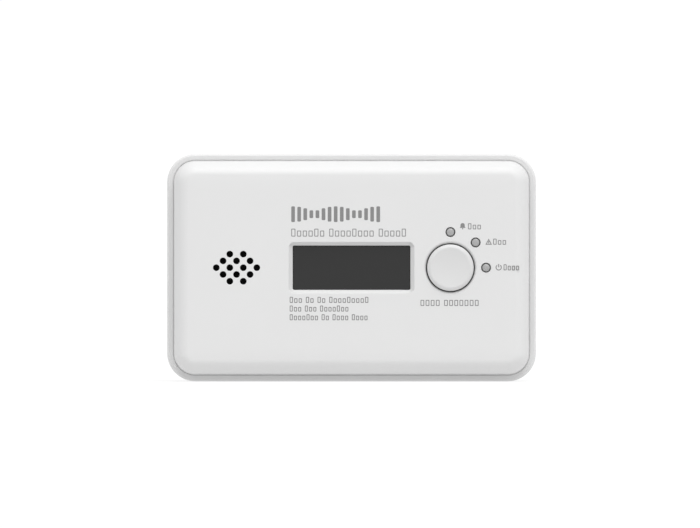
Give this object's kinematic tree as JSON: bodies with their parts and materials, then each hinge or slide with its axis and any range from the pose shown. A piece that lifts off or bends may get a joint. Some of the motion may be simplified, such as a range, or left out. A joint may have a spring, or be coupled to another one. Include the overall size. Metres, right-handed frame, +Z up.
{
  "type": "carbon monoxide detector",
  "caption": "Flat battery carbon monoxide detector with a display, a round test button, indicator lights, a horn grille and a hinged battery door at the back.",
  "frame": {"origin": "centre of the bottom of the bounding box, on the surface that the detector stands on", "axes": "+X to the right seen from the front, the front faces -Y, +Z up, the back (wall side) faces +Y"},
  "size_m": [0.12, 0.036, 0.074],
  "materials": {
    "shell": "satin",
    "button": "satin",
    "smoke": "gloss",
    "lcd_glass": "gloss",
    "black_plastic": "matte",
    "rubber": "matte",
    "mesh": "matte",
    "brass": "satin",
    "ceramic": "matte",
    "board": "satin",
    "light_pipe": "gloss",
    "red_lamp": "gloss",
    "amber_lamp": "gloss",
    "green_lamp": "gloss",
    "spring_steel": "satin",
    "zinc_steel": "satin",
    "sensor_can": "satin",
    "cell": "satin",
    "sleeve": "gloss",
    "red_lead": "satin",
    "black_lead": "satin",
    "label": "matte"
  },
  "bodies": {
    "housing": {"front_cover": "shell", "rear_cover": "shell", "display_lens": "smoke", "lcd_panel": "lcd_glass", "lcd_frame": "black_plastic", "lcd_connector_upper": "rubber", "lcd_connector_lower": "rubber", "grille_mesh": "mesh", "sounder_case": "black_plastic", "piezo_disc": "brass", "piezo_ceramic": "ceramic", "switch_body": "black_plastic", "alarm_led": "red_lamp", "alarm_light_pipe": "light_pipe", "fault_led": "amber_lamp", "fault_light_pipe": "light_pipe", "power_led": "green_lamp", "power_light_pipe": "light_pipe", "circuit_board": "board", "microcontroller": "black_plastic", "co_sensor_can": "sensor_can", "co_sensor_cap": "black_plastic", "horn_coil": "rubber", "capacitor": "sleeve", "case_screw_1": "zinc_steel", "case_screw_2": "zinc_steel", "case_screw_3": "zinc_steel", "case_screw_4": "zinc_steel", "board_screw_1": "zinc_steel", "board_screw_2": "zinc_steel", "board_screw_3": "zinc_steel", "cell_upper": "cell", "cell_middle": "cell", "cell_lower": "cell", "contact_positive": "spring_steel", "contact_negative": "spring_steel", "contact_bridge_left": "spring_steel", "contact_bridge_right": "spring_steel", "lead_red": "red_lead", "lead_black": "black_lead"},
    "test_button": {"test_button": "button"},
    "switch_plunger": {"switch_plunger": "black_plastic"},
    "battery_door": {"battery_door": "shell", "rating_label": "label"}
  },
  "joints": [
    {"name": "test_button_press", "type": "slide", "parent": "housing", "child": "test_button", "axis": [0, 1, 0], "range_m": [0, 0.0006], "stiffness_N_per_m": 3000, "springref_m": -0.0002},
    {"name": "switch_plunger_press", "type": "slide", "parent": "housing", "child": "switch_plunger", "axis": [0, 1, 0], "range_m": [0, 0.00025]},
    {"name": "battery_door_hinge", "type": "hinge", "parent": "housing", "child": "battery_door", "pos_m": [0, 0.0167, 0.0106], "axis": [-1, 0, 0], "range_deg": [0, 100]}
  ],
  "couplings": [
    {"joint": "switch_plunger_press", "follows": "test_button_press", "ratio": 0.4}
  ]
}
